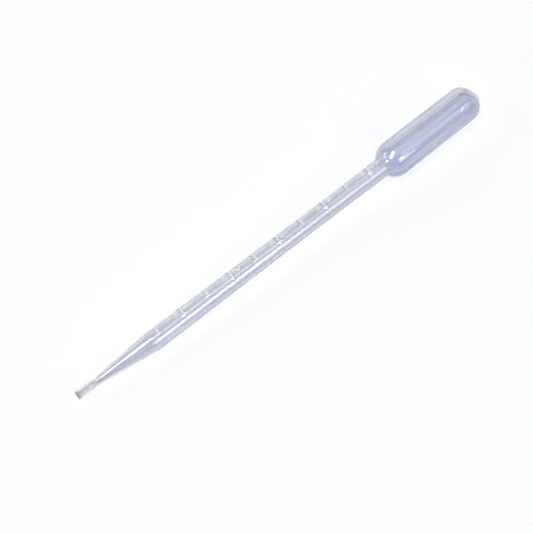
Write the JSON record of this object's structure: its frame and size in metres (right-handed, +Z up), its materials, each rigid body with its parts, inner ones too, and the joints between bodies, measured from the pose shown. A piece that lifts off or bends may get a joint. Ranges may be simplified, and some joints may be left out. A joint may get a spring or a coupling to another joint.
{
  "type": "dropper pipette",
  "caption": "Soft one-piece dropper pipette: a squeeze bulb on a slender hollow stem with a raised volume scale, drawn down to a fine open tip.",
  "frame": {"origin": "middle of the underside of the bounding box, on the surface that the pipette lies on", "axes": "+X along the pipette from the tip to the bulb, +Z up as it lies at rest, +Y to its far side, which the scale is turned 24 degrees towards"},
  "size_m": [0.205, 0.016, 0.0169],
  "materials": {
    "clear_polyethylene": "clear, slightly milky blow-moulded low-density polyethylene, smooth, with a faint cool tint"
  },
  "bodies": {
    "root": {"pipette_body": "clear_polyethylene"}
  },
  "joints": []
}
